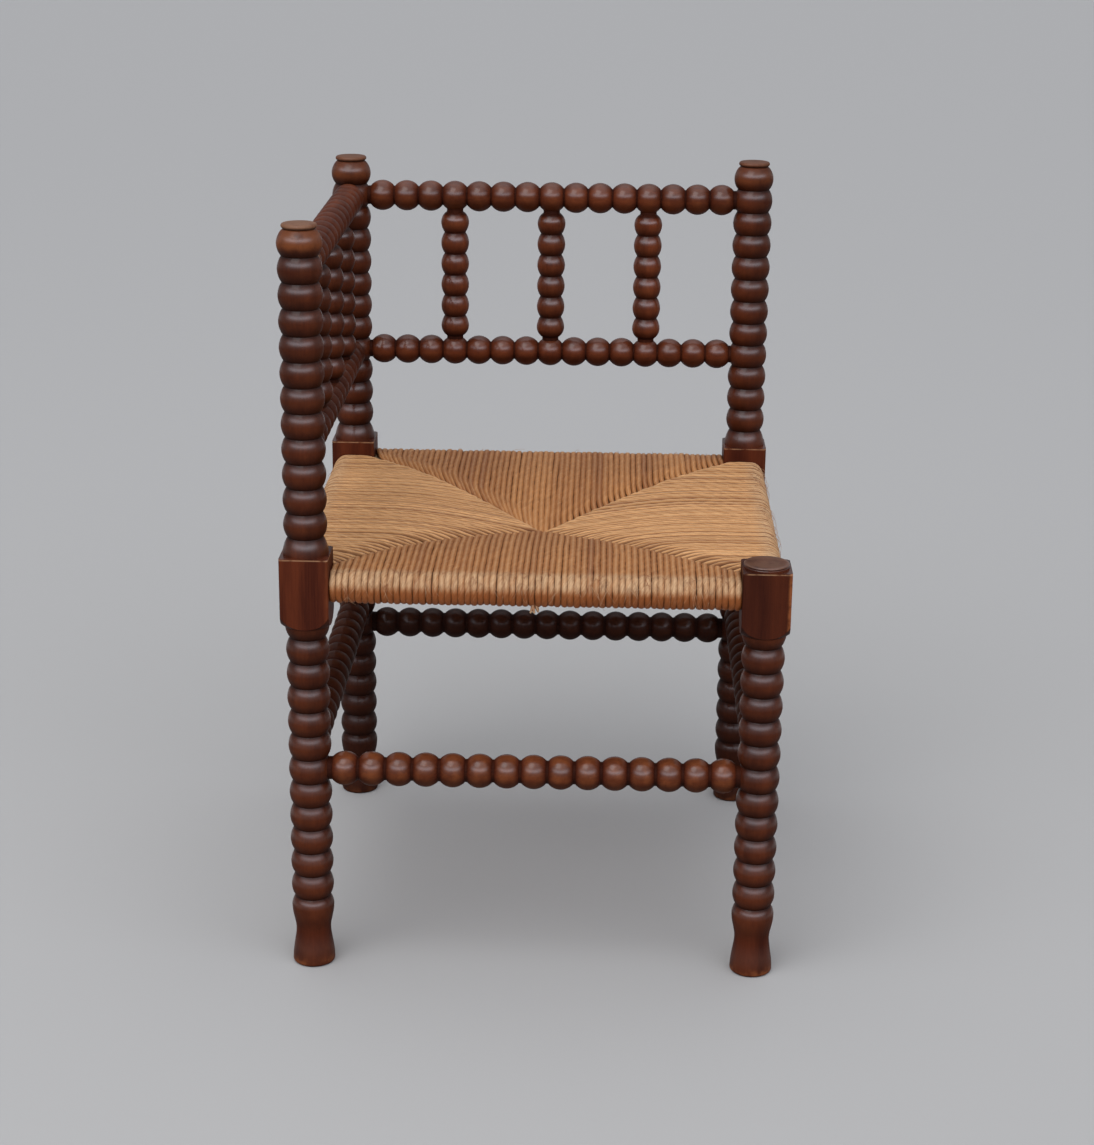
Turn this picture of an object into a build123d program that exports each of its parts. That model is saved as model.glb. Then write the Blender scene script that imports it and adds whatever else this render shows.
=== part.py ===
from build123d import *
import os
from collections import namedtuple
from math import sqrt

# A corner chair of bobbin turnings with a rush seat. Millimetres, +Z up.
# The origin is on the floor, in the middle of the square on which the four posts stand.
# -Y is the front, and the two panels are at the back (+Y) and at the left (-X).

# Plan
post_spacing = 440.0

# Heights along a tall post, from the floor up
foot_height = 72.0
lower_bobbins = 11
lower_pitch = 24.9
collar_height = 12.5
block_height = 72.0
base_bead_height = 16.6
upper_bobbins = 11
upper_pitch = 24.5
bulb_height = 25.0
cap_groove_height = 0.6
cap_lip_height = 4.4
cap_dome_height = 1.0

# Post turning
post_bobbin_dia = 42.0
post_groove_depth = 4.0
foot_dia = 42.0
foot_edge = 3.0
ankle_dia = 35.0
ankle_height = 40.0
ankle_bead_height = 62.0
collar_dia = 43.0
base_bead_dia = 44.0
bulb_dia = 42.5
cap_groove_dia = 30.0
cap_lip_dia = 33.5

# Square block where the seat rails enter the post
block_width = 47.0
block_arris = 2.0
block_pommel = 19.0
block_shoulder = 4.0
block_shoulder_dia = 48.0
short_block_drop = 5.0
short_disc_height = 4.0
short_disc_dia = 43.5
short_disc_groove = 1.0

# Rows of beads on the rails, the stretchers and the spindles
rail_beads = 15
bead_fillet = 2.0
rail_fillet = 0.8
top_rail_dia = 33.0
top_rail_groove_depth = 6.4
lower_rail_dia = 32.0
lower_rail_groove_depth = 6.6
stretcher_dia = 34.0
stretcher_groove_depth = 5.6
spindle_dia = 30.5
spindle_groove_depth = 3.6
spindle_beads = 6
spindle_fillet = 0.8
spindle_end_dia = 18.0
spindle_step = 4
spindles = 3

# Which bobbin of a post takes each stick, counted down from the top of its row
top_rail_bobbin = 1
lower_rail_bobbin = 8
side_stretcher_bobbin = 5
front_stretcher_bobbin = 6

# Round tenons in blind mortises
glue_line = 0.1
mortise_relief = 0.5
tenon_lead = 1.0
rail_tenon_dia = 14.0
rail_tenon_spacing = 1.0
rail_housing = 4.5
stretcher_tenon_depth = 25.0
spindle_tenon_dia = 10.0
spindle_housing = 3.0
spindle_tenon_depth = 11.0
seat_tenon_dia = 15.0
seat_housing = 0.0
seat_tenon_depth = 14.0

# Seat
seat_rail_drop = 31.5
seat_rail_height = 20.0
seat_rail_flat = 1.0
rush_strand = 6.2
rush_setback = 2.0
rush_gap = 0.3
roll_flat = 0.1
seat_sag = 21.0
seat_core_thickness = 20.0
dish_shoulder_drop = 4.0
dish_shoulder_half = 112.0
dish_floor_half = 4.0

# Heights worked out from the sizes above
lower_top = foot_height + lower_bobbins * lower_pitch
block_bottom = lower_top + collar_height
block_top = block_bottom + block_height
upper_bottom = block_top + base_bead_height
upper_top = upper_bottom + upper_bobbins * upper_pitch
bulb_top = upper_top + bulb_height
lip_bottom = bulb_top + cap_groove_height
lip_top = lip_bottom + cap_lip_height
post_top = lip_top + cap_dome_height

# Plan values worked out from the sizes above
half_spacing = post_spacing / 2
post_radius = post_bobbin_dia / 2
groove_radius = post_radius - post_groove_depth
turned_span = post_spacing - post_bobbin_dia
bead_pitch = turned_span / rail_beads

# One kind of joint between a stick and the piece that holds it. Distances run along the stick:
# face is from the holder's axis to its surface, depth is from that surface to the tenon's end.
TenonJoint = namedtuple("TenonJoint", "height face neck_dia housing tenon_dia depth")
rail_tenon_depth = post_radius - rail_tenon_dia / 2 - rail_tenon_spacing


def post_joint(height, neck_dia, depth):
    """The joint of a rail or a stretcher that enters a post at the given height."""
    return TenonJoint(height, post_radius, neck_dia, rail_housing, rail_tenon_dia, depth)


top_rail_joint = post_joint(
    upper_top - (top_rail_bobbin - 0.5) * upper_pitch,
    top_rail_dia - 2 * top_rail_groove_depth,
    rail_tenon_depth,
)
lower_rail_joint = post_joint(
    upper_top - (lower_rail_bobbin - 0.5) * upper_pitch,
    lower_rail_dia - 2 * lower_rail_groove_depth,
    rail_tenon_depth,
)
front_stretcher_joint = post_joint(
    lower_top - (front_stretcher_bobbin - 0.5) * lower_pitch,
    stretcher_dia - 2 * stretcher_groove_depth,
    stretcher_tenon_depth,
)
side_stretcher_joint = post_joint(
    lower_top - (side_stretcher_bobbin - 0.5) * lower_pitch,
    stretcher_dia - 2 * stretcher_groove_depth,
    stretcher_tenon_depth,
)
seat_joint = TenonJoint(
    block_top - seat_rail_drop, block_width / 2, seat_tenon_dia, seat_housing, seat_tenon_dia,
    seat_tenon_depth,
)
spindle_top_joint = TenonJoint(
    top_rail_joint.height, top_rail_dia / 2, spindle_end_dia, spindle_housing, spindle_tenon_dia,
    spindle_tenon_depth,
)
spindle_foot_joint = spindle_top_joint._replace(height=lower_rail_joint.height, face=lower_rail_dia / 2)


def bore_mortise(joint, centre, direction):
    """Bore a blind mortise into the part being built, entered from the side that direction points to."""
    with Locations(Plane(origin=centre + direction * joint.face, z_dir=direction)):
        CounterBoreHole(
            radius=joint.tenon_dia / 2 + glue_line,
            counter_bore_radius=joint.neck_dia / 2 + glue_line,
            counter_bore_depth=joint.housing + glue_line,
            depth=joint.depth + mortise_relief,
        )


os.makedirs("parts", exist_ok=True)


def hand_in(part, label):
    """Name a finished piece and write it to its own file."""
    part.label = label
    export_step(part, f"parts/{label}.step")


# Posts
def bobbin_column(bottom, count, pitch):
    """Draw the outline of a column of bobbins upwards from the groove at its bottom."""
    for i in range(count):
        z = bottom + i * pitch
        ThreePointArc((groove_radius, z), (post_radius, z + pitch / 2), (groove_radius, z + pitch))


def turned_post(label, x_side, y_side):
    """A post at one corner of the plan, with a mortise for every stick that meets it there."""
    x, y = x_side * half_spacing, y_side * half_spacing
    inward_x, inward_y = Vector(-x_side, 0, 0), Vector(0, -y_side, 0)
    mortises = [
        (seat_joint, inward_x),
        (seat_joint, inward_y),
        (front_stretcher_joint, inward_x),
        (side_stretcher_joint, inward_y),
    ]
    if y_side > 0:
        mortises += [(top_rail_joint, inward_x), (lower_rail_joint, inward_x)]
    if x_side < 0:
        mortises += [(top_rail_joint, inward_y), (lower_rail_joint, inward_y)]
    tall = y_side > 0 or x_side < 0
    square_top = block_top if tall else block_top - short_block_drop
    corner_radius = block_width / sqrt(2)
    section = Plane(origin=(x, y, 0), x_dir=(1, 0, 0), z_dir=(0, -1, 0))
    axis = Axis((x, y, 0), (0, 0, 1))

    with BuildPart() as post:
        # The square block, its arrises eased and its corners turned away at both ends
        with BuildSketch(Plane(origin=(x, y, block_bottom))):
            Rectangle(block_width, block_width)
        extrude(amount=square_top - block_bottom)
        fillet(post.edges().filter_by(Axis.Z), radius=block_arris)
        with BuildSketch(section):
            with BuildLine():
                pommel_end = (corner_radius, block_bottom + block_pommel)
                shoulder_start = (corner_radius, square_top - block_shoulder)
                shoulder_end = (block_shoulder_dia / 2, square_top)
                Line((0, block_bottom), (collar_dia / 2, block_bottom))
                TangentArc(pommel_end, (collar_dia / 2, block_bottom), tangent=(0, -1))
                Line(pommel_end, shoulder_start)
                TangentArc(shoulder_start, shoulder_end, tangent=(0, 1))
                Polyline(shoulder_end, (0, square_top), (0, block_bottom))
            make_face()
        revolve(axis=axis, mode=Mode.INTERSECT)

        # The leg: foot, bobbins and the collar under the block
        with BuildSketch(section):
            with BuildLine():
                foot_start = (foot_dia / 2, foot_edge)
                ankle_end = (post_radius, ankle_bead_height)
                Line((0, 0), (foot_dia / 2 - foot_edge, 0))
                TangentArc((foot_dia / 2 - foot_edge, 0), foot_start, tangent=(1, 0))
                Spline(foot_start, (ankle_dia / 2, ankle_height), ankle_end, tangents=[(0, 1), (0, 1)])
                TangentArc(ankle_end, (groove_radius, foot_height), tangent=(0, 1))
                bobbin_column(foot_height, lower_bobbins, lower_pitch)
                TangentArc((collar_dia / 2, block_bottom), (groove_radius, lower_top), tangent=(0, -1))
                Polyline((collar_dia / 2, block_bottom), (0, block_bottom), (0, 0))
            make_face()
        revolve(axis=axis)

        # Above the block: a column of bobbins with a bulb and a cap, or a low disc on the short post
        with BuildSketch(section):
            with BuildLine():
                if tall:
                    bulb_end = (cap_groove_dia / 2, bulb_top)
                    lip_start = (cap_groove_dia / 2, lip_bottom)
                    lip_end = (cap_groove_dia / 2, lip_top)
                    bead_start = (base_bead_dia / 2, square_top)
                    Line((0, square_top), bead_start)
                    TangentArc(bead_start, (groove_radius, upper_bottom), tangent=(0, 1))
                    bobbin_column(upper_bottom, upper_bobbins, upper_pitch)
                    bulb_crown = (bulb_dia / 2, upper_top + bulb_height / 2)
                    ThreePointArc((groove_radius, upper_top), bulb_crown, bulb_end)
                    Line(bulb_end, lip_start)
                    ThreePointArc(lip_start, (cap_lip_dia / 2, (lip_bottom + lip_top) / 2), lip_end)
                    TangentArc((0, post_top), lip_end, tangent=(1, 0))
                    Line((0, post_top), (0, square_top))
                else:
                    disc_radius = short_disc_dia / 2
                    disc_top = square_top + short_disc_height
                    groove_height = square_top + short_disc_height / 2
                    Polyline(
                        (0, square_top),
                        (disc_radius, square_top),
                        (disc_radius, groove_height - short_disc_groove),
                        (disc_radius - short_disc_groove, groove_height),
                        (disc_radius, groove_height + short_disc_groove),
                    )
                    rim_start = (disc_radius, groove_height + short_disc_groove)
                    rim_end = (disc_radius - short_disc_groove, disc_top)
                    TangentArc(rim_start, rim_end, tangent=(0, 1))
                    Polyline(rim_end, (0, disc_top), (0, square_top))
            make_face()
        revolve(axis=axis)

        for joint, direction in mortises:
            bore_mortise(joint, Vector(x, y, joint.height), direction)

    hand_in(post.part, label)


turned_post("corner_post", -1, 1)
turned_post("back_right_post", 1, 1)
turned_post("front_left_post", -1, -1)
turned_post("front_right_post", 1, -1)


# Turned sticks: rails, stretchers and spindles
def turned_stick(label, plane, span, beads, bead_dia, groove_dia, fillet_width, joint, mortises=()):
    """A row of beads along the plane's x direction, with a shouldered round tenon at each end."""
    pitch = span / beads
    bead_half = (pitch - fillet_width) / 2
    neck_radius = joint.neck_dia / 2
    tenon_radius = joint.tenon_dia / 2
    shoulder = span / 2 + joint.housing
    tenon_end = span / 2 + joint.depth

    with BuildPart() as stick:
        with BuildSketch(plane):
            with BuildLine():
                Polyline(
                    (-tenon_end, 0),
                    (-tenon_end, tenon_radius - tenon_lead),
                    (-tenon_end + tenon_lead, tenon_radius),
                    (-shoulder, tenon_radius),
                    (-shoulder, neck_radius),
                )
                last = (-shoulder, neck_radius)
                for i in range(beads):
                    middle = (i - (beads - 1) / 2) * pitch
                    left_radius = neck_radius if i == 0 else groove_dia / 2
                    right_radius = neck_radius if i == beads - 1 else groove_dia / 2
                    start = (middle - bead_half, left_radius)
                    end = (middle + bead_half, right_radius)
                    Line(last, start)
                    crown = (middle, bead_dia / 2)
                    TangentArc(crown, start, tangent=(-1, 0))
                    TangentArc(crown, end, tangent=(1, 0))
                    last = end
                Polyline(
                    last,
                    (shoulder, neck_radius),
                    (shoulder, tenon_radius),
                    (tenon_end - tenon_lead, tenon_radius),
                    (tenon_end, tenon_radius - tenon_lead),
                    (tenon_end, 0),
                    (-tenon_end, 0),
                )
            make_face()
        revolve(axis=Axis(plane.origin, plane.x_dir))
        for mortise, offset, direction in mortises:
            bore_mortise(mortise, plane.origin + plane.x_dir * offset, direction)

    hand_in(stick.part, label)


def side_plane(side, height):
    """A plane at the middle of one side of the plan, with x along that side and y up."""
    outward = {"front": (0, -1), "back": (0, 1), "left": (-1, 0), "right": (1, 0)}[side]
    z_dir = Vector(*outward, 0)
    origin = z_dir * half_spacing + Vector(0, 0, height)
    return Plane(origin=origin, x_dir=Vector(0, 0, 1).cross(z_dir), z_dir=z_dir)


for side, joint in (
    ("front", front_stretcher_joint),
    ("back", front_stretcher_joint),
    ("left", side_stretcher_joint),
    ("right", side_stretcher_joint),
):
    turned_stick(
        f"{side}_stretcher",
        side_plane(side, joint.height),
        turned_span,
        rail_beads,
        stretcher_dia,
        joint.neck_dia,
        bead_fillet,
        joint,
    )

# The back panel and the side panel: two rails each, with the spindles between them
spindle_offsets = [(i - (spindles - 1) / 2) * spindle_step * bead_pitch for i in range(spindles)]
spindle_bottom = lower_rail_joint.height + lower_rail_dia / 2
spindle_span = top_rail_joint.height - top_rail_dia / 2 - spindle_bottom
down, up = Vector(0, 0, -1), Vector(0, 0, 1)

for panel, side, places in (
    ("back", "back", ("right", "middle", "left")),
    ("side", "left", ("back", "middle", "front")),
):
    for rail, dia, joint, mortise, direction in (
        ("top_rail", top_rail_dia, top_rail_joint, spindle_top_joint, down),
        ("lower_rail", lower_rail_dia, lower_rail_joint, spindle_foot_joint, up),
    ):
        turned_stick(
            f"{panel}_{rail}",
            side_plane(side, joint.height),
            turned_span,
            rail_beads,
            dia,
            joint.neck_dia,
            rail_fillet,
            joint,
            [(mortise, offset, direction) for offset in spindle_offsets],
        )
    middle = side_plane(side, spindle_bottom + spindle_span / 2)
    for place, offset in zip(places, spindle_offsets):
        turned_stick(
            f"{panel}_spindle_{place}",
            Plane(origin=middle.origin + middle.x_dir * offset, x_dir=up, z_dir=middle.z_dir),
            spindle_span,
            spindle_beads,
            spindle_dia,
            spindle_dia - 2 * spindle_groove_depth,
            spindle_fillet,
            spindle_top_joint,
        )

# Seat rails: round-edged sticks inside the rush
seat_half = half_spacing + block_width / 2 - rush_setback
seat_rail_width = 2 * (seat_half - rush_strand - rush_gap - half_spacing)
seat_rail_round = (min(seat_rail_width, seat_rail_height) - seat_rail_flat) / 2
seat_rail_span = post_spacing - block_width - 2 * glue_line

for side in ("front", "back", "left", "right"):
    along = side_plane(side, seat_joint.height)
    across = Plane(origin=along.origin, x_dir=along.z_dir, z_dir=along.x_dir)
    with BuildPart() as seat_rail:
        with BuildSketch(across):
            RectangleRounded(seat_rail_width, seat_rail_height, seat_rail_round)
        extrude(amount=seat_rail_span / 2, both=True)
        with BuildSketch(across):
            Circle(seat_tenon_dia / 2)
        extrude(amount=post_spacing / 2 - block_width / 2 + seat_tenon_depth, both=True)
    hand_in(seat_rail.part, f"{side}_seat_rail")

# Rush seat: rolled edges, four panels that fall to the middle, notched round the posts
roll_half = seat_rail_height / 2 + rush_gap + rush_strand
rush_top = seat_joint.height + roll_half
rush_bottom = seat_joint.height - roll_half
rush_belly = rush_top - seat_sag - seat_core_thickness
notch_width = block_width + 2 * rush_gap
dish_crest_half = half_spacing - seat_rail_width / 2 + seat_rail_round


def seat_form(inset):
    """The form of the seat, drawn in by inset from all its faces but those against the posts."""
    half = seat_half - inset
    top = rush_top - inset
    bottom = rush_bottom + inset
    roll = (top - bottom) / 2
    with BuildPart() as form:
        with BuildSketch(Plane.XY.offset(bottom)):
            Rectangle(2 * half, 2 * half)
            with GridLocations(post_spacing, post_spacing, 2, 2):
                Rectangle(notch_width, notch_width, mode=Mode.SUBTRACT)
        extrude(amount=top - bottom)
        rows = form.edges().filter_by(Axis.X).group_by(Axis.Y)
        columns = form.edges().filter_by(Axis.Y).group_by(Axis.X)
        fillet(rows[0] + rows[-1] + columns[0] + columns[-1], radius=roll - roll_flat / 2)
        for level, level_half in (
            (bottom, half_spacing - notch_width / 2),
            (rush_belly + inset, dish_floor_half),
        ):
            with BuildSketch(Plane.XY.offset(level)):
                Rectangle(2 * level_half, 2 * level_half)
        loft(ruled=True)
        for level, level_half in (
            (top, dish_crest_half),
            (top - dish_shoulder_drop, dish_shoulder_half),
            (top - seat_sag, dish_floor_half),
        ):
            with BuildSketch(Plane.XY.offset(level)):
                Rectangle(2 * level_half, 2 * level_half)
        loft(ruled=True, mode=Mode.SUBTRACT)
    return form.part


rush_outside = seat_form(0)
rush_inside = seat_form(rush_strand)
with BuildPart() as rush_seat:
    add(rush_outside)
    add(rush_inside, mode=Mode.SUBTRACT)
hand_in(rush_seat.part, "rush_seat")

# Stuffing: loose rush that fills the seat between the rails
stuffing_form = seat_form(rush_strand + rush_gap)
stuffing_width = post_spacing - seat_rail_width - 2 * rush_gap
with BuildPart() as seat_stuffing:
    add(stuffing_form)
    with BuildSketch(Plane.XY.offset(rush_belly)):
        Rectangle(stuffing_width, stuffing_width)
    extrude(amount=rush_top - rush_belly, mode=Mode.INTERSECT)
hand_in(seat_stuffing.part, "seat_stuffing")
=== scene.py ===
import math

import bmesh
import bpy
import numpy as np
from mathutils import Matrix, Vector


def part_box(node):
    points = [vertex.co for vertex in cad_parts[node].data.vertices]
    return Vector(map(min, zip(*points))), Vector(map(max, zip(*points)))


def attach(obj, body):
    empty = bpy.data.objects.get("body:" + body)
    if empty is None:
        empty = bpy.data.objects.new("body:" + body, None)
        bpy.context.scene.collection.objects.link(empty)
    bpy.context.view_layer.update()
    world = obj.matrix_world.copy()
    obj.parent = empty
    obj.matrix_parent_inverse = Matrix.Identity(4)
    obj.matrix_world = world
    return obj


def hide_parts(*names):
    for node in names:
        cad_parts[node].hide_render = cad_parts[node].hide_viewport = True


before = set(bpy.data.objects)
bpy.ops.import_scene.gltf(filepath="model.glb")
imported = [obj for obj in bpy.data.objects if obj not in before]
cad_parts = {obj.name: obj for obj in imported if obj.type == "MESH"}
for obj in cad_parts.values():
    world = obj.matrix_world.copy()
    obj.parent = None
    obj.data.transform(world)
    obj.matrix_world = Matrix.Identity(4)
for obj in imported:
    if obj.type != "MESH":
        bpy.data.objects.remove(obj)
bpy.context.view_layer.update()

# The four posts are beech, turned between centres, with a square block left for the seat rails.
# They are stained dark red-brown and waxed, and the sticks are glued into mortises bored in them. Dirt
# has stayed in the grooves, and hands have rubbed the caps and the blocks pale. The back legs below the
# seat and all faces that look down are painted darker: painted shade.
POST_GROOVE_RADIUS = 0.0172
POST_CROWN_RADIUS = 0.0209
BLOCK_HALF = 0.0235
BLOCK_ARRIS_RADIUS = (0.0302, 0.0325)
BLOCK_TOP = {True: 0.4304, False: 0.4254}
LEG_TOP = 0.358
LEG_SHADE_FADE = 0.012
BULB_BOTTOM = 0.7165
CAP_BOTTOM = 0.7415
GROOVED_FROM = 0.068
GROOVED_TO = {True: 0.7360, False: 0.4250}
FOOT_WEAR_HEIGHT = 0.012
POST_RUBBED = 0.10
TOOL_RINGS_PER_METRE = 1700.0
WAX_ROUGHNESS = 0.22
WAX_IOR = {0: 1.5, 1: 1.5, 2: 1.62}
SIDE_POLISH = 0.4
# One dark colour serves both the real dirt in grooves and pores and the painted shade on undersides, on the
# legs below the seat and on the stretchers.
DIRT_AND_SHADE = (0.011, 0.0030, 0.0015)
DEEP_STAIN = (0.048, 0.0085, 0.0034)
RED_STAIN = (0.125, 0.0260, 0.0085)
RUBBED_STAIN = (0.27, 0.082, 0.026)
CAP_BROWN = (0.20, 0.098, 0.055)
BARE_BEECH = (0.48, 0.27, 0.14)


class Socket:
    """A socket among a material's nodes. Arithmetic on it adds Math nodes, and add() any other node."""

    def __init__(self, tree, node=None, output=0):
        self.tree = tree
        self.node = node
        self.source = node.outputs[output] if node and node.outputs else None

    def add(self, kind, settings=None, inputs=None, output=0):
        """Add a node of this kind: its settings first, then the values or links of its inputs."""
        node = self.tree.nodes.new("ShaderNode" + kind)
        for name, value in (settings or {}).items():
            setattr(node, name, value)
        for name, value in (inputs or {}).items():
            if isinstance(value, Socket):
                self.tree.links.new(value.source, node.inputs[name])
            else:
                node.inputs[name].default_value = value
        return Socket(self.tree, node, output)

    def output(self, name):
        return Socket(self.tree, self.node, name)

    def math(self, operation, *values):
        return self.add("Math", {"operation": operation}, dict(enumerate(values)))

    def __add__(self, other):
        return self.math("ADD", self, other)

    def __sub__(self, other):
        return self.math("SUBTRACT", self, other)

    def __rsub__(self, other):
        return self.math("SUBTRACT", other, self)

    def __mul__(self, other):
        return self.math("MULTIPLY", self, other)

    def __truediv__(self, other):
        return self.math("DIVIDE", self, other)

    def __pow__(self, other):
        return self.math("POWER", self, other)

    __radd__ = __add__
    __rmul__ = __mul__

    def fade(self, start, end):
        """0 at start and 1 at end, with a smooth step between them."""
        inputs = {"Value": self, "From Min": start, "From Max": end}
        return self.add("MapRange", {"interpolation_type": "SMOOTHSTEP"}, inputs)

    def near(self, place, reach):
        """1 at this place, falling to 0 within reach on both sides of it."""
        return self.math("ABSOLUTE", self - place).fade(reach, 0.0)

    def colours(self, low, high):
        """The colour low where this socket is 0, high where it is 1."""
        inputs = {0: self}
        for place, colour in ((6, low), (7, high)):
            inputs[place] = colour if isinstance(colour, Socket) else (*colour, 1.0)
        return self.add("Mix", {"data_type": "RGBA"}, inputs, 2)

    def noise(self, scales, detail=2.0, roughness=0.5):
        """Noise over this socket's three coordinates, which are multiplied by the scales first."""
        scaled = self.add("VectorMath", {"operation": "MULTIPLY"}, {0: self, 1: scales})
        inputs = {"Vector": scaled, "Scale": 1.0, "Detail": detail, "Roughness": roughness}
        return self.add("TexNoise", {}, inputs)

    def surface(self, inputs):
        """Close the material with a Principled shader that takes these inputs."""
        shader = self.add("BsdfPrincipled", {}, inputs)
        self.add("OutputMaterial", {}, {"Surface": shader})


def new_material(name):
    material = bpy.data.materials.new(name)
    material.use_nodes = True
    material.node_tree.nodes.clear()
    return material, Socket(material.node_tree)


def turned_wood(node, along, groove, crown, red, rubbed, dark, worn_places=None,
                grooved=(-1.0, 1.0), leg_shade=0.0):
    """Stain and wax a turned CAD node whose axis runs along one coordinate: 0, 1 or 2.

    Groove and crown are the radii of its beads, and grooved the stretch of its length that has them.
    Red, rubbed and dark are shares: of the redder stain, of rubbed crowns and of darkening, which is old
    dark wax and, on the stretchers, painted shade as well. The share after grooved is painted shade on a
    post below the seat, which also dulls its wax. Sticks from front to back are duller."""
    low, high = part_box(node)
    centre = (low + high) / 2
    centre[along] = 0.0
    material, nodes = new_material(node + "_wood")
    place = nodes.add("TexCoord", output="Object")
    from_axis = nodes.add("VectorMath", {"operation": "SUBTRACT"}, {0: place, 1: centre})
    split = nodes.add("SeparateXYZ", {}, {0: from_axis})
    parts = [split.output(i) for i in range(3)]
    length = parts.pop(along)
    radius = (parts[0] * parts[0] + parts[1] * parts[1]) ** 0.5

    def grain(across, lengthwise, detail=2.0):
        scales = [across] * 3
        scales[along] = lengthwise
        return place.noise(scales, detail)

    board = grain(45.0, 5.0)
    streak = grain(520.0, 22.0, 4.0)
    pore = grain(1900.0, 90.0).fade(0.60, 0.72)
    patch = grain(95.0, 95.0, 3.0)
    ring_place = {"W": (length + radius) * TOOL_RINGS_PER_METRE, "Scale": 1.0}
    tool_rings = nodes.add("TexNoise", {"noise_dimensions": "1D"}, ring_place)
    on_crown = radius.fade(groove, crown)
    on_block = radius.fade(crown + 0.0006, crown + 0.0022)
    facing = nodes.add("SeparateXYZ", {}, {0: nodes.add("TexCoord", output="Normal")}).output(2)
    polished = facing.fade(0.0, 0.36) * (1.0 - dark * dark)
    polish_reach = 0.35 + on_crown * 0.65 if along == 2 else on_crown * on_crown
    if along == 1:
        polish_reach = polish_reach * SIDE_POLISH

    red_share = board.fade(0.35, 0.68) * 0.7 + streak.fade(0.35, 0.7) * 0.25 * red
    stain = red_share.colours(DEEP_STAIN, RED_STAIN)
    # Dark mixes the stain toward the dark colour: old dark wax, and on the stretchers also painted shade.
    # The blocks keep more of their colour.
    stain = ((1.0 - on_block * 0.7) * dark).colours(stain, DIRT_AND_SHADE)
    rub = on_crown * (1.0 - on_block) * (0.35 + patch.fade(0.30, 0.80) * 0.65) * rubbed
    colour = rub.colours(stain, RUBBED_STAIN)
    if worn_places:
        colour = worn_places(colour, length, radius, patch, from_axis)
    colour = (pore * 0.28).colours(colour, DIRT_AND_SHADE)
    start, end = grooved
    has_grooves = length.fade(start - 0.002, start) * length.fade(end + 0.002, end)
    in_groove = radius.fade(groove + 0.0016, groove - 0.0004) * has_grooves
    colour = (in_groove * 0.65).colours(colour, DIRT_AND_SHADE)
    # Faces that look down are mixed toward the dark colour: painted shade on the undersides.
    colour = (facing.fade(0.0, -0.5) * 0.55).colours(colour, DIRT_AND_SHADE)
    # Below the seat a post is painted darker and its wax duller: painted shade under the seat.
    if leg_shade:
        below_seat_shade = length.fade(LEG_TOP, LEG_TOP - LEG_SHADE_FADE) * leg_shade
        colour = below_seat_shade.colours(colour, DIRT_AND_SHADE)
        polish_reach = polish_reach * (1.0 - below_seat_shade)

    height = streak * 0.5 - pore * 0.8 + tool_rings * 0.35 + patch * 0.8
    bump = nodes.add("Bump", {}, {"Strength": 0.30, "Distance": 0.0004, "Height": height})
    nodes.surface({
        "Base Color": colour,
        "Roughness": 0.60 - on_crown * 0.12 + patch * 0.10,
        "Specular IOR Level": 0.06,
        "Coat Weight": (0.02 + polished * 0.98) * polish_reach,
        "Coat Roughness": WAX_ROUGHNESS,
        "Coat IOR": WAX_IOR[along],
        "Normal": bump,
    })
    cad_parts[node].data.materials.clear()
    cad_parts[node].data.materials.append(material)


def post_wear(tall, cap_wear, block_wax, arris_wear):
    """Where a post has lost its stain: the block's right arrises and top line, the cap and the foot.

    Block_wax is the share of old dark wax on the faces of the block."""
    def worn_places(colour, length, radius, patch, from_axis):
        block = radius.fade(BLOCK_HALF - 0.001, BLOCK_HALF)
        colour = (block * block_wax).colours(colour, DIRT_AND_SHADE)
        right = from_axis.add("SeparateXYZ", {}, {0: from_axis}).fade(0.0, 0.015)
        arris = radius.fade(*BLOCK_ARRIS_RADIUS) * right * patch.fade(0.25, 0.55)
        colour = (arris * arris_wear).colours(colour, RUBBED_STAIN)
        edge = length.near(BLOCK_TOP[tall] - 0.0011, 0.0010) * block
        colour = (edge * patch.fade(0.30, 0.55) * 0.55).colours(colour, BARE_BEECH)
        foot = length.fade(FOOT_WEAR_HEIGHT, 0.0) * patch.fade(0.40, 0.60)
        colour = (foot * 0.5).colours(colour, RUBBED_STAIN)
        if tall:
            bulb = length.fade(BULB_BOTTOM + 0.003, BULB_BOTTOM + 0.012) * patch.fade(0.05, 0.60)
            colour = (bulb * cap_wear * 0.5).colours(colour, RUBBED_STAIN)
            cap = length.fade(CAP_BOTTOM, CAP_BOTTOM + 0.0015) * patch.fade(0.15, 0.55)
            colour = (cap * cap_wear).colours(colour, CAP_BROWN)
            colour = (length.near(CAP_BOTTOM + 0.0003, 0.0010) * 0.85).colours(colour, DIRT_AND_SHADE)
        else:
            disc = length.fade(BLOCK_TOP[tall] + 0.0020, BLOCK_TOP[tall] + 0.0032)
            colour = (disc * patch.fade(0.05, 0.60) * 0.45).colours(colour, CAP_BROWN)
        return colour
    return worn_places


for node, tall, red, dark, cap_wear, block_wax, arris_wear, leg_shade in (
    ("corner_post", True, 0.7, 0.41, 0.42, 0.0, 0.15, 0.60),
    ("back_right_post", True, 0.7, 0.40, 0.35, 0.10, 0.15, 0.50),
    ("front_left_post", True, 1.0, 0.42, 0.85, 0.0, 0.15, 0.0),
    ("front_right_post", False, 0.7, 0.38, 0.0, 0.40, 0.90, 0.0),
):
    wear = post_wear(tall, cap_wear, block_wax, arris_wear)
    radii = (POST_GROOVE_RADIUS, POST_CROWN_RADIUS)
    grooved = (GROOVED_FROM, GROOVED_TO[tall])
    turned_wood(node, 2, *radii, red, POST_RUBBED, dark, wear, grooved, leg_shade)

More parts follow.
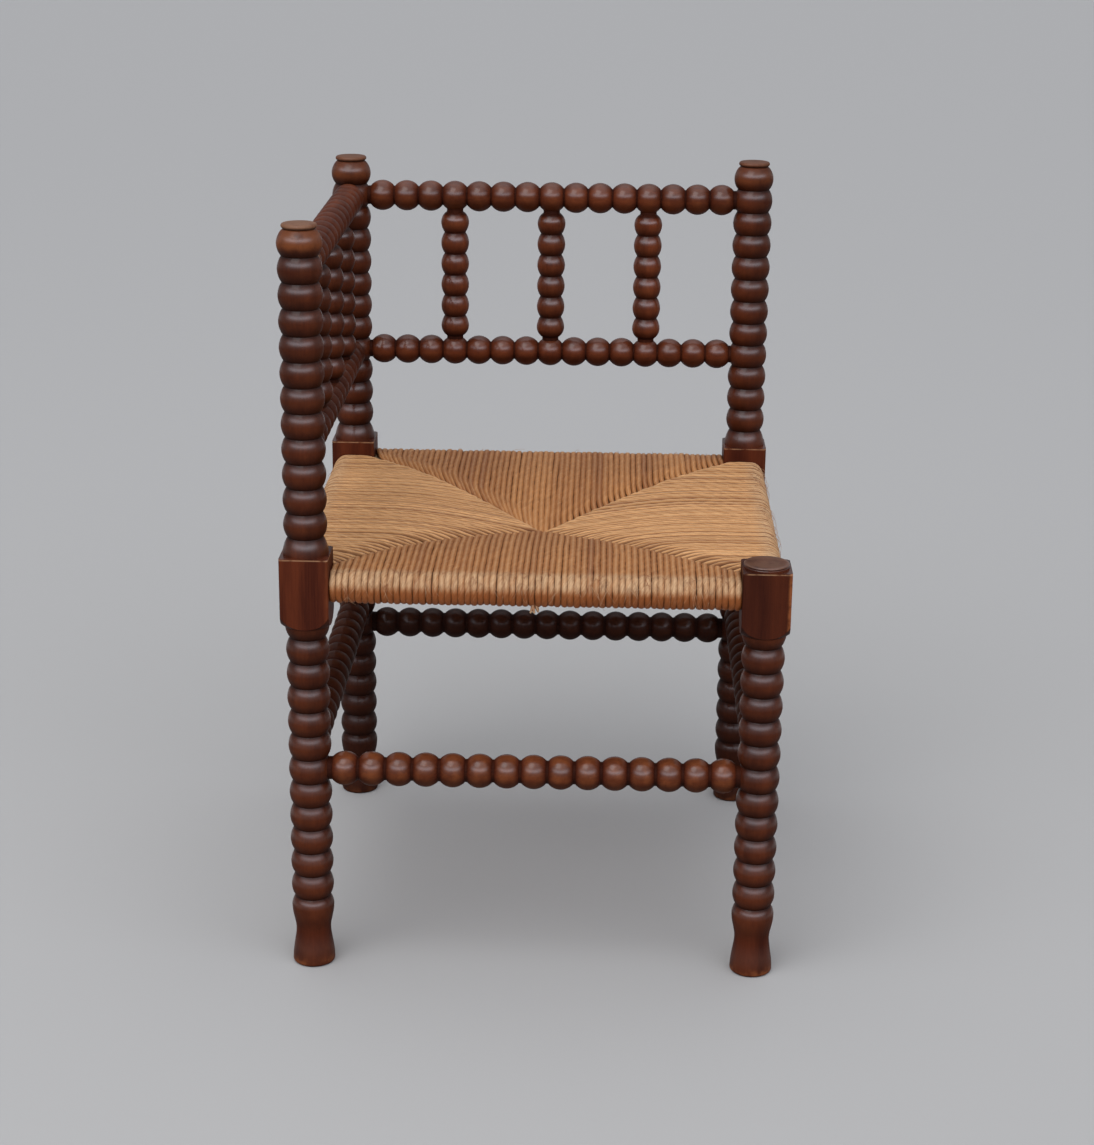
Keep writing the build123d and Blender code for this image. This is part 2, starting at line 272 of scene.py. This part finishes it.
# The stretchers tie the posts below the seat. Each is one stick of beech turned into fifteen beads,
# with a round tenon at both ends that is glued in the posts. Shoes have rubbed the front one orange.
# The others are painted darker, which is old dirt and also painted shade, as they stand in the shade
# under the seat.
STRETCHER_RADII = (0.0116, 0.0169)
for node, along, red, rubbed, dark in (
    ("front_stretcher", 0, 1.0, 0.48, 0.0),
    ("back_stretcher", 0, 0.3, 0.05, 0.85),
    ("left_stretcher", 1, 0.6, 0.10, 0.78),
    ("right_stretcher", 1, 0.6, 0.10, 0.78),
):
    turned_wood(node, along, *STRETCHER_RADII, red, rubbed, dark)

# The back and the side panel have a top and a lower rail each, turned into beads like the stretchers.
# They are slimmer, are glued into the posts, and hold the spindles in mortises, four beads apart.
TOP_RAIL_RADII = (0.0103, 0.0164)
LOWER_RAIL_RADII = (0.0096, 0.0159)
RAIL_SCAR = (0.0135, -0.1965, 0.0058)
RAIL_SCAR_REACH = 0.009


def rail_scar(colour, length, radius, patch, from_axis):
    """The front end of the side's top rail is worn through to the bare wood beside the post."""
    away = from_axis.add("VectorMath", {"operation": "DISTANCE"}, {0: from_axis, 1: RAIL_SCAR}, "Value")
    return (away.fade(RAIL_SCAR_REACH, 0.002) * patch.fade(0.30, 0.50)).colours(colour, BARE_BEECH)


turned_wood("back_top_rail", 0, *TOP_RAIL_RADII, 1.0, 0.25, 0.15)
turned_wood("back_lower_rail", 0, *LOWER_RAIL_RADII, 1.0, 0.18, 0.15)
turned_wood("side_top_rail", 1, *TOP_RAIL_RADII, 1.0, 0.12, 0.25, rail_scar)
turned_wood("side_lower_rail", 1, *LOWER_RAIL_RADII, 0.8, 0.10, 0.50)

# Three spindles stand between the rails of each panel. Each is a short stick of six beads, with a
# round tenon at its foot and its head that is glued in the rails. Those of the side are darker.
SPINDLE_RADII = (0.0118, 0.0152)
for node, rubbed, dark in (
    ("back_spindle_left", 0.22, 0.08),
    ("back_spindle_middle", 0.22, 0.08),
    ("back_spindle_right", 0.22, 0.08),
    ("side_spindle_front", 0.12, 0.34),
    ("side_spindle_middle", 0.12, 0.34),
    ("side_spindle_back", 0.12, 0.34),
):
    turned_wood(node, 2, *SPINDLE_RADII, 1.0, rubbed, dark)

# The seat rails are bare beech with rounded edges. They are glued into the blocks of the posts and
# are hidden, because the rush is wound round them.
RAIL_PALE = (0.52, 0.34, 0.19)
RAIL_BROWN = (0.33, 0.18, 0.09)
for node, along in (
    ("front_seat_rail", 0), ("back_seat_rail", 0), ("left_seat_rail", 1), ("right_seat_rail", 1),
):
    material, nodes = new_material(node + "_wood")
    place = nodes.add("TexCoord", output="Object")
    scales = [420.0] * 3
    scales[along] = 12.0
    fibre = place.noise(scales, 4.0)
    nodes.surface({
        "Base Color": fibre.fade(0.3, 0.7).colours(RAIL_PALE, RAIL_BROWN),
        "Roughness": 0.60 + fibre * 0.2,
        "Normal": nodes.add("Bump", {}, {"Strength": 0.4, "Distance": 0.0004, "Height": fibre}),
    })
    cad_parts[node].data.materials.clear()
    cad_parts[node].data.materials.append(material)

# The rush seat is one long cord of twisted rush, wound over the four rails and back through the
# middle, so that the strands form four panels on the top and four below. The panels sag to the middle,
# and the strands dive between each other along the seams, which run from the posts to the centre.
STRAND_RADIUS = 0.00304
STRAND_PITCH = 0.0061
STRAND_SIDES = 10
STRAND_STEP = 0.0026
STRAND_WANDER = 0.00022
STRAND_UNEVEN_HEIGHT = 0.0003
STRAND_UNEVEN_WIDTH = 0.035
STRAND_LUMPS = 0.025
TURN_POINTS = 9
SEAM_POINTS = 60
TWIST_PITCH = 0.034
TWIST_DEPTH = 0.07
POST_SPACING = 0.440
RAIL_HALF_HEIGHT = 0.0100
RAIL_EDGE_RADIUS = 0.0095
RAIL_HALF_WIDTH = 0.0150
STRAND_GAP = 0.0003
SEAM_CORNER = 0.1962
SEAT_CENTRE = np.array((0.0, -0.012))
SEAT_SAG = 0.021
SAG_REACH = 0.170
BELLY = 0.008
STEEP_DIVE = 0.010
SLOW_DIVE = 0.038
DIVE_DEPTH = 0.0100
SEAM_BOWS = {(-1, -1): 0.013, (1, -1): -0.011, (-1, 1): 0.011, (1, 1): 0.002}
PANELS = {"front": (0, -1), "back": (0, 1), "left": (-1, 0), "right": (1, 0)}
LEFT_HOOK = 0.016
LEFT_HOOK_LENGTH = 0.050
RIGHT_HOOK = 0.005
RIGHT_HOOK_LENGTH = 0.020
HOOK_TAPER = 0.060
STRAND_WIDE = 1.14
STRAND_FLAT = 0.88
BAKE_WIDTH = 0.9
BAKE_LENGTH = 1.8

rail_height = (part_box("front_seat_rail")[0].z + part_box("front_seat_rail")[1].z) / 2
rail_place = POST_SPACING / 2
strand_lift = STRAND_GAP + STRAND_RADIUS
random = np.random.default_rng(11)


def top_of_seat(reach):
    """Height of the middles of the upper strands, at this distance from the middle of the seat."""
    share = np.clip(reach / SAG_REACH, 0.0, 1.0)
    rise = (share * share * (3.0 - 2.0 * share)) ** 0.65
    return rail_height + RAIL_HALF_HEIGHT + strand_lift - SEAT_SAG * (1.0 - rise)


def bottom_of_seat(reach):
    """The same for the strands below the seat, which hang down a little towards the middle."""
    share = np.clip(reach / SEAM_CORNER, 0.0, 1.0)
    return rail_height - RAIL_HALF_HEIGHT - strand_lift - BELLY * (1.0 - share)


def seam_line(x_side, y_side):
    """Points of the seam from the middle of the seat to the block of one post, on the plan."""
    share = np.linspace(0.0, 1.0, SEAM_POINTS)[:, None]
    corner = np.array((x_side, y_side)) * SEAM_CORNER
    bow = np.array((0.0, SEAM_BOWS[x_side, y_side]))
    return SEAT_CENTRE + (corner - SEAT_CENTRE) * share + bow * 4.0 * share * (1.0 - share)


def slow_noise(count, reach, size):
    """A smooth random wander of count steps, about size in height, with bends about reach steps apart."""
    knots = random.normal(0.0, size, max(3, count // reach + 3))
    return np.interp(np.linspace(0.0, len(knots) - 1.0, count), np.arange(len(knots)), knots)


def strand_route(across, seam, dive_length, hook, hook_length):
    """The middle line of one strand round its rail: from the seam below to the seam on the top.

    It goes down into the seam over dive_length, and its end leans across by hook. Gives the place
    across the panel, outwards from the middle of the seat, and the height."""
    bend = RAIL_EDGE_RADIUS + strand_lift
    flat = RAIL_HALF_WIDTH - RAIL_EDGE_RADIUS
    inner = rail_place - flat
    run = np.linspace(seam - 0.003, inner, max(6, int((inner - seam) / STRAND_STEP)))
    turn = np.linspace(0.0, math.pi / 2, TURN_POINTS)
    dive_length = min(dive_length, 0.8 * (inner - seam))
    depth = min(DIVE_DEPTH, (top_of_seat(seam) - bottom_of_seat(seam)) / 2 - STRAND_RADIUS)
    dive = depth * np.clip(1.0 - (run - seam) / dive_length, 0.0, 1.0) ** 2
    top = top_of_seat(run) - dive
    below = bottom_of_seat(run) + dive
    crest = rail_height + RAIL_HALF_HEIGHT + strand_lift - bend
    foot = rail_height - RAIL_HALF_HEIGHT - strand_lift + bend
    outer = rail_place + flat
    out = np.concatenate((run, outer + bend * np.sin(turn), outer + bend * np.cos(turn), run[::-1]))
    height = np.concatenate((below, foot - bend * np.cos(turn), crest + bend * np.sin(turn), top[::-1]))
    sway = hook * np.clip(1.0 - (run - seam) / hook_length, 0.0, 1.0) ** 2
    place = np.concatenate((np.zeros(len(out) - len(run)), sway[::-1])) + across
    return place, out, height


def strand_tubes(name, panel, bunched, varied):
    """All the strands of one panel as twisted tubes in one mesh, with a tone for each strand.

    Tones are as varied as given, and bunched is how far neighbours share one, because a length of
    cord is twisted from the same leaves."""
    outward = np.array((*PANELS[panel], 0.0))
    along = np.array((-outward[1], outward[0], 0.0))
    sides = [key for key in SEAM_BOWS if np.dot(key, outward[:2]) > 0]
    seams = sorted((seam_line(*key) for key in sides), key=lambda line: line[-1] @ along[:2])
    border = np.concatenate((seams[0][::-1], seams[1][1:]))
    seam_across, seam_out = border @ along[:2], border @ outward[:2]
    count = int(round(2.0 * SEAM_CORNER / STRAND_PITCH))
    places = (np.arange(count) - (count - 1) / 2) * (2.0 * SEAM_CORNER / count)
    angles = np.arange(STRAND_SIDES) * 2.0 * math.pi / STRAND_SIDES
    shares = bunched * slow_noise(count, 5, varied) + (1.0 - bunched) * random.normal(0.0, varied, count)
    shares = np.clip(0.5 + shares, 0.0, 1.0)
    points, faces, tones, corners, strips = [], [], [], [], []
    for strand, across in enumerate(places):
        x, y, _ = across * along
        hook, hook_length = 0.0, RIGHT_HOOK_LENGTH
        if panel == "back" and x < 0.0:
            hook, hook_length = -LEFT_HOOK * min(1.0, -x / HOOK_TAPER), LEFT_HOOK_LENGTH
        elif panel == "back":
            hook = -RIGHT_HOOK * min(1.0, x / HOOK_TAPER)
        over = panel == "front" or (panel in ("left", "right") and y > SEAT_CENTRE[1])
        seam = np.interp(across + hook, seam_across, seam_out)
        dive_length = STEEP_DIVE if over else SLOW_DIVE
        place, out, height = strand_route(across, seam, dive_length, hook, hook_length)
        rings = len(out)
        place = place + slow_noise(rings, 12, STRAND_WANDER)
        height = height + random.normal(0.0, STRAND_UNEVEN_HEIGHT)
        middle = np.outer(place, along) + np.outer(out, outward) + np.outer(height, (0.0, 0.0, 1.0))
        tangent = np.gradient(middle, axis=0)
        tangent /= np.linalg.norm(tangent, axis=1)[:, None]
        normal = np.cross(along, tangent)
        normal /= np.linalg.norm(normal, axis=1)[:, None]
        travel = np.concatenate(([0.0], np.cumsum(np.linalg.norm(np.diff(middle, axis=0), axis=1))))
        thickness = STRAND_RADIUS * random.normal(1.0, STRAND_UNEVEN_WIDTH)
        thickness = thickness * (1.0 + slow_noise(rings, 6, STRAND_LUMPS))
        lobes = np.cos(2.0 * (angles[None, :] - 2.0 * math.pi * travel[:, None] / TWIST_PITCH))
        ring_radius = thickness[:, None] * (1.0 + TWIST_DEPTH * lobes)
        wide = STRAND_WIDE * np.cos(angles)[None, :, None] * along
        high = STRAND_FLAT * np.sin(angles)[None, :, None] * normal[:, None, :]
        tube = middle[:, None, :] + ring_radius[:, :, None] * (wide + high)
        start = sum(len(block) for block in points)
        points.append(tube.reshape(-1, 3))
        tones.append(np.full(rings * STRAND_SIDES, shares[strand]))
        for ring in range(rings - 1):
            for side in range(STRAND_SIDES):
                following = (side + 1) % STRAND_SIDES
                near, far = start + ring * STRAND_SIDES, start + (ring + 1) * STRAND_SIDES
                faces.append((near + side, far + side, far + following, near + following))
                left, right = side / STRAND_SIDES, (side + 1) / STRAND_SIDES
                begin, end = travel[ring], travel[ring + 1]
                corners += [(left, begin), (left, end), (right, end), (right, begin)]
                for u, v in corners[-4:]:
                    strips.append(((strand + u * BAKE_WIDTH) / count, v * BAKE_LENGTH))
        for ring, order in ((0, range(STRAND_SIDES)), (rings - 1, reversed(range(STRAND_SIDES)))):
            faces.append(tuple(start + ring * STRAND_SIDES + side for side in order))
            corners += [(0.0, travel[ring])] * STRAND_SIDES
            strips += [(strand / count, travel[ring] * BAKE_LENGTH)] * STRAND_SIDES
    mesh = bpy.data.meshes.new(name)
    mesh.from_pydata(np.concatenate(points).tolist(), [], faces)
    for layer, values in (("strand", corners), ("OFBake", strips)):
        uv = mesh.uv_layers.new(name=layer)
        uv.data.foreach_set("uv", np.array(values, np.float32).ravel())
    tone = mesh.attributes.new("tone", "FLOAT", "POINT")
    tone.data.foreach_set("value", np.concatenate(tones).astype(np.float32))
    mesh.shade_smooth()
    piece = bpy.data.objects.new(name, mesh)
    bpy.context.scene.collection.objects.link(piece)
    return piece


# The side panels are painted in paler colours than the front and the back, though the seat is one cord:
# painted light on the sides.
PALE_STRAW = (0.49, 0.303, 0.164)
PAINTED_LIT_SIDE_GOLD = (0.66, 0.338, 0.137)
PAINTED_LIT_SIDE_TAN = (0.36, 0.156, 0.050)
WARM_TAN = (0.47, 0.200, 0.066)
WARM_BROWN = (0.29, 0.103, 0.030)
RUSSET = (0.22, 0.073, 0.025)
ROLL_BROWN = (0.25, 0.066, 0.013)
# The glint colour is both pale fibres and the painted highlight on the top of each strand.
PALE_FIBRE_AND_HIGHLIGHT = (0.86, 0.590, 0.335)
# The shade colour is both dark fibres and the painted shade between strands.
DARK_FIBRE_AND_SHADE = (0.105, 0.034, 0.010)


def rush_material(name, light, dark, outward_axis, weathered, crown, crease):
    """Dry twisted rush: one colour for each strand, fibres that wind along it, and a weathered roll.

    Crown is how strong the painted highlight on the top of each strand is, and crease where the painted
    shade between strands starts and ends."""
    material, nodes = new_material(name)
    strand = nodes.add("UVMap", {"uv_map": "strand"})
    split = nodes.add("SeparateXYZ", {}, {0: strand})
    around, travel = split.output(0), split.output(1)
    tone = nodes.add("Attribute", {"attribute_name": "tone"}, output="Fac")
    turn = (around + travel / TWIST_PITCH) * (2.0 * math.pi)
    lengthwise = travel + tone * 7.0
    wound = {0: nodes.math("COSINE", turn), 1: nodes.math("SINE", turn), 2: lengthwise}
    wound = nodes.add("CombineXYZ", {}, wound)
    fibre = wound.noise((5.0, 5.0, 55.0), 4.0, 0.6)
    fleck = wound.noise((9.0, 9.0, 190.0), 3.0, 0.6)
    length_tone = wound.noise((0.6, 0.6, 16.0), 2.0)
    place = nodes.add("SeparateXYZ", {}, {0: nodes.add("TexCoord", output="Object")})
    out = nodes.math("ABSOLUTE", place.output(outward_axis))
    height = place.output(2)

    leaf = (tone * 0.70 + length_tone.fade(0.35, 0.65) * 0.30).colours(dark, light)
    russet = tone.fade(0.28, 0.05) * length_tone.fade(0.36, 0.55)
    leaf = (russet * 0.6).colours(leaf, RUSSET)
    on_roll = out.fade(rail_place - 0.006, rail_place + 0.010)
    upper = height.fade(rail_height - 0.002, rail_height + 0.008)
    faded = tone * 0.55 + length_tone.fade(0.30, 0.62) * 0.55
    leaf = (on_roll * upper * weathered * faded).colours(leaf, PALE_STRAW)
    leaf = (on_roll * (1.0 - upper) * 0.9).colours(leaf, ROLL_BROWN)
    leaf = (fibre.fade(0.50, 0.30) * 0.42).colours(leaf, DARK_FIBRE_AND_SHADE)
    leaf = (fibre.fade(0.56, 0.74) * (0.45 - on_roll * 0.20)).colours(leaf, PALE_FIBRE_AND_HIGHLIGHT)
    leaf = (fleck.fade(0.52, 0.38) * (0.20 + on_roll * 0.20)).colours(leaf, DARK_FIBRE_AND_SHADE)
    leaf = (fleck.fade(0.54, 0.68) * on_roll * upper * 0.45).colours(leaf, PALE_FIBRE_AND_HIGHLIGHT)
    beside = nodes.math("ABSOLUTE", nodes.math("COSINE", around * (2.0 * math.pi)))
    # Painted highlight: the top of each strand is painted paler, least on the lower half of the roll.
    crown_highlight = beside.fade(0.50, 0.0) * (1.0 - on_roll * (1.0 - upper))
    leaf = (crown_highlight * crown).colours(leaf, PALE_FIBRE_AND_HIGHLIGHT)
    # Painted shade: the sides of each strand, where it meets its neighbours, are painted darker, most on
    # the roll.
    leaf = (beside.fade(*crease) * (0.70 + on_roll * 0.18)).colours(leaf, DARK_FIBRE_AND_SHADE)
    bump = nodes.add("Bump", {}, {"Strength": 0.55, "Distance": 0.0006, "Height": fibre})
    nodes.surface({
        "Base Color": leaf,
        "Roughness": 0.46 + fibre * 0.22,
        "Specular IOR Level": 0.20,
        "Normal": bump,
    })
    return material


# The side panels take the paler colours and stronger painted highlights on the strand tops: painted light.
for panel, light, dark, outward_axis, weathered, bunched, varied, crown, crease in (
    ("front", WARM_TAN, WARM_BROWN, 1, 0.90, 0.6, 0.40, 0.16, (0.66, 1.0)),
    ("back", WARM_TAN, WARM_BROWN, 1, 0.35, 0.6, 0.36, 0.12, (0.72, 1.0)),
    ("left", PAINTED_LIT_SIDE_GOLD, PAINTED_LIT_SIDE_TAN, 0, 0.45, 0.1, 0.34, 0.32, (0.48, 0.89)),
    ("right", PAINTED_LIT_SIDE_GOLD, PAINTED_LIT_SIDE_TAN, 0, 0.70, 0.1, 0.38, 0.30, (0.47, 0.88)),
):
    strands = strand_tubes(f"rush_{panel}_strands", panel, bunched, varied)
    finish = rush_material(f"rush_{panel}", light, dark, outward_axis, weathered, crown, crease)
    strands.data.materials.append(finish)
    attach(strands, "root")
    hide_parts("rush_seat")

# Fibres have come loose where the cord rubs, most of all along the front roll. They are thin split
# leaves that still hang from the strands by one end. A short end of cord is tucked in under the roll.
FRAY_COUNTS = {"front": 170, "right": 60, "left": 25, "back": 20}
FRAY_RADIUS = 0.00022
FRAY_POINTS = 7
FRAY_SIDES = 4
FRAY_SPAN = 0.185
FRAY_REACH = (0.006, 0.024)
FRAY_LIFT = (0.0008, 0.0042)
FRAY_SUNK = 0.0004
TUFT_PLACE = 0.0005
TUFT_STRANDS = 11
TUFT_RADIUS = 0.0014
TUFT_SIDES = 6
TUFT_DROP = (0.006, 0.010)


def add_tube(points, faces, route, radii, sides):
    """Add one thin tapered tube along a route of points to the lists of a mesh."""
    tangent = np.gradient(route, axis=0)
    tangent /= np.linalg.norm(tangent, axis=1)[:, None]
    first = np.cross(tangent, (0.31, 0.53, 0.79))
    first /= np.linalg.norm(first, axis=1)[:, None]
    second = np.cross(tangent, first)
    base = len(points)
    for ring in range(len(route)):
        for side in range(sides):
            angle = 2.0 * math.pi * side / sides
            spread = math.cos(angle) * first[ring] + math.sin(angle) * second[ring]
            points.append(tuple(route[ring] + radii[ring] * spread))
    for ring in range(len(route) - 1):
        for side in range(sides):
            near, far = base + ring * sides, base + (ring + 1) * sides
            following = (side + 1) % sides
            faces.append((near + side, near + following, far + following, far + side))
    faces.append(tuple(base + side for side in reversed(range(sides))))
    faces.append(tuple(base + (len(route) - 1) * sides + side for side in range(sides)))


fray_points, fray_faces = [], []
roll_out = rail_place + RAIL_HALF_WIDTH - RAIL_EDGE_RADIUS
roll_radius = RAIL_EDGE_RADIUS + strand_lift + STRAND_RADIUS
for panel, count in FRAY_COUNTS.items():
    outward = np.array((*PANELS[panel], 0.0))
    along = np.array((-outward[1], outward[0], 0.0))
    for _ in range(count):
        across = random.uniform(-FRAY_SPAN, FRAY_SPAN)
        start = random.uniform(0.05, 1.0) * math.pi / 2
        share = np.linspace(0.0, 1.0, FRAY_POINTS)
        reach = random.uniform(*FRAY_REACH)
        angle = start - random.choice((-0.6, 1.0)) * share * reach / roll_radius
        lift = random.uniform(*FRAY_LIFT) * np.sin(share * random.uniform(1.6, 2.8)) - FRAY_SUNK
        drift = random.normal(0.0, 0.007) * share + random.normal(0.0, 0.003) * share * share
        out = roll_out + (roll_radius + lift) * np.cos(angle)
        height = rail_height + (roll_radius + lift) * np.sin(angle)
        route = np.outer(across + drift, along) + np.outer(out, outward) + np.outer(height, (0.0, 0.0, 1.0))
        add_tube(fray_points, fray_faces, route, FRAY_RADIUS * (1.0 - 0.6 * share), FRAY_SIDES)
for _ in range(TUFT_STRANDS):
    share = np.linspace(0.0, 1.0, FRAY_POINTS)
    across = TUFT_PLACE + random.normal(0.0, 0.0016) + random.normal(0.0, 0.002) * share
    out = rail_place + 0.012 + random.normal(0.0, 0.0012) + random.uniform(0.0, 0.003) * share
    height = rail_height - RAIL_HALF_HEIGHT - 0.001 - random.uniform(*TUFT_DROP) * share
    route = np.stack((across, -out, height), axis=1)
    add_tube(fray_points, fray_faces, route, TUFT_RADIUS * (1.0 - 0.4 * share * share), TUFT_SIDES)
fray_mesh = bpy.data.meshes.new("rush_frays")
fray_mesh.from_pydata(fray_points, [], fray_faces)
fray_mesh.shade_smooth()
frays = bpy.data.objects.new("rush_frays", fray_mesh)
bpy.context.scene.collection.objects.link(frays)
material, nodes = new_material("rush_frays")
fibre = nodes.add("TexCoord", output="Object").noise((160.0, 160.0, 160.0), 3.0)
nodes.surface({
    "Base Color": fibre.fade(0.35, 0.65).colours(ROLL_BROWN, PALE_STRAW),
    "Roughness": 0.50 + fibre * 0.2,
    "Normal": nodes.add("Bump", {}, {"Strength": 0.3, "Distance": 0.0003, "Height": fibre}),
})
fray_mesh.materials.append(material)
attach(frays, "root")

# Loose dry rush is packed between the upper and the lower strands while the seat is wound. It is a
# lumpy pad that the strands hold in place and hide.
PAD_HALF = 0.196
PAD_STEPS = 44
PAD_SHARE = 0.30
PAD_LUMP = 0.0009
PAD_RIM = 0.012
# The pad is coloured darker than loose dry rush, as painted shade where it shows between the strands.
PAD_SHADED_PALE = (0.36, 0.20, 0.085)
PAD_SHADED_BROWN = (0.18, 0.085, 0.032)

grid = np.linspace(-PAD_HALF, PAD_HALF, PAD_STEPS)
plan_x, plan_y = np.meshgrid(grid, grid, indexing="ij")
reach = np.maximum(np.abs(plan_x), np.abs(plan_y))
middle_height = (top_of_seat(reach) + bottom_of_seat(reach)) / 2
half_gap = (top_of_seat(reach) - bottom_of_seat(reach)) / 2 - STRAND_RADIUS
rim = np.clip((PAD_HALF - reach) / PAD_RIM, 0.0, 1.0) ** 0.5
swell = half_gap * 2.0 * PAD_SHARE * rim
pad_points = []
for sign in (1, -1):
    lumps = random.normal(0.0, PAD_LUMP, reach.shape) * rim
    sheet = np.stack((plan_x, plan_y, middle_height + sign * swell + lumps), axis=-1)
    pad_points.append(sheet.reshape(-1, 3))
pad_faces = []
for side in (0, 1):
    base = side * PAD_STEPS * PAD_STEPS
    for i in range(PAD_STEPS - 1):
        for j in range(PAD_STEPS - 1):
            first = base + i * PAD_STEPS + j
            face = (first, first + PAD_STEPS, first + PAD_STEPS + 1, first + 1)
            pad_faces.append(face if side == 0 else face[::-1])
pad_mesh = bpy.data.meshes.new("rush_stuffing")
pad_mesh.from_pydata(np.concatenate(pad_points).tolist(), [], pad_faces)
sheets = bmesh.new()
sheets.from_mesh(pad_mesh)
bmesh.ops.remove_doubles(sheets, verts=sheets.verts, dist=1e-6)
sheets.to_mesh(pad_mesh)
sheets.free()
pad = bpy.data.objects.new("rush_stuffing", pad_mesh)
bpy.context.scene.collection.objects.link(pad)
pad_mesh.shade_smooth()
material, nodes = new_material("rush_stuffing")
place = nodes.add("TexCoord", output="Object")
litter = place.noise((240.0, 60.0, 240.0), 4.0)
nodes.surface({
    "Base Color": litter.fade(0.35, 0.65).colours(PAD_SHADED_BROWN, PAD_SHADED_PALE),
    "Roughness": 0.80 + litter * 0.1,
    "Normal": nodes.add("Bump", {}, {"Strength": 0.6, "Distance": 0.001, "Height": litter}),
})
pad_mesh.materials.append(material)
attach(pad, "root")
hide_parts("seat_stuffing")

# The chair stands on a plain pale studio floor, wide enough to fill the picture from any side.
FLOOR_HALF = 120.0
FLOOR_PALE = (0.46, 0.45, 0.435)
FLOOR_FLECK = (0.43, 0.42, 0.405)
floor_mesh = bpy.data.meshes.new("studio_floor")
floor_signs = ((-1, -1), (1, -1), (1, 1), (-1, 1))
floor_corners = [(x * FLOOR_HALF, y * FLOOR_HALF, 0.0) for x, y in floor_signs]
floor_mesh.from_pydata(floor_corners, [], [(0, 1, 2, 3)])
floor = bpy.data.objects.new("studio_floor", floor_mesh)
bpy.context.scene.collection.objects.link(floor)
material, nodes = new_material("studio_floor")
fleck = nodes.add("TexCoord", output="Object").noise((900.0, 900.0, 900.0), 2.0)
nodes.surface({"Base Color": fleck.colours(FLOOR_FLECK, FLOOR_PALE), "Roughness": 0.85 + fleck * 0.1})
floor_mesh.materials.append(material)

# Soft studio light: a dome like an overcast sky, dim at the horizon and behind, with a bright band in
# front of the chair at half height, and one large soft box over the left shoulder of the camera.
SKY_FRONT = (1.08, 1.12, 1.20)
SKY_BAND = (3.30, 3.45, 3.85)
SKY_BEHIND = (0.36, 0.37, 0.39)
SKY_TOP = (1.03, 1.06, 1.12)
HORIZON = (0.20, 0.20, 0.21)
BAND_HEIGHT = 0.42
BAND_REACH = 0.24
SOFTBOX_PLACE = (-0.9, -1.6, 3.2)
SOFTBOX_AIM = Vector((0.0, 0.0, 0.4))
SOFTBOX_SIZE = 2.0
SOFTBOX_POWER = 25.0
world = bpy.data.worlds.new("studio")
bpy.context.scene.world = world
world.use_nodes = True
world.node_tree.nodes.clear()
nodes = Socket(world.node_tree)
direction = nodes.add("SeparateXYZ", {}, {0: nodes.add("TexCoord", output="Generated")})
forward, up = direction.output(1), direction.output(2)
in_front = forward.fade(0.05, -0.80)
sky = in_front.colours(SKY_BEHIND, SKY_FRONT)
sky = up.fade(0.65, 0.95).colours(sky, SKY_TOP)
sky = up.fade(BAND_HEIGHT, -0.05).colours(sky, HORIZON)
sky = (up.near(BAND_HEIGHT, BAND_REACH) * in_front).colours(sky, SKY_BAND)
dome = nodes.add("Background", {}, {"Color": sky, "Strength": 1.0})
nodes.add("OutputWorld", {}, {"Surface": dome})

lamp = bpy.data.lights.new("softbox", "AREA")
lamp.shape = "SQUARE"
lamp.size = SOFTBOX_SIZE
lamp.energy = SOFTBOX_POWER
softbox = bpy.data.objects.new("softbox", lamp)
softbox.location = SOFTBOX_PLACE
softbox.rotation_mode = "QUATERNION"
softbox.rotation_quaternion = (SOFTBOX_AIM - softbox.location).to_track_quat("-Z", "Y")
bpy.context.scene.collection.objects.link(softbox)

# The camera stands where the photograph was taken from, in front of the chair and above its back.
CAMERA_PLACE = (0.06701, -2.36525, 1.11004)
CAMERA_RIGHT = Vector((0.99950, 0.02968, 0.01075))
CAMERA_DOWN = Vector((0.01937, -0.30768, -0.95129))
CAMERA_AHEAD = Vector((-0.02492, 0.95103, -0.30810))
CAMERA_LENS = 74.234
CAMERA_SENSOR = 36.0
camera = bpy.data.objects.new("camera", bpy.data.cameras.new("camera"))
camera.data.lens = CAMERA_LENS
camera.data.sensor_width = CAMERA_SENSOR
turn = Matrix((CAMERA_RIGHT, -CAMERA_DOWN, -CAMERA_AHEAD)).transposed()
camera.matrix_world = Matrix.Translation(CAMERA_PLACE) @ turn.to_4x4()
bpy.context.scene.collection.objects.link(camera)
bpy.context.scene.camera = camera
bpy.context.scene.view_settings.view_transform = "Standard"
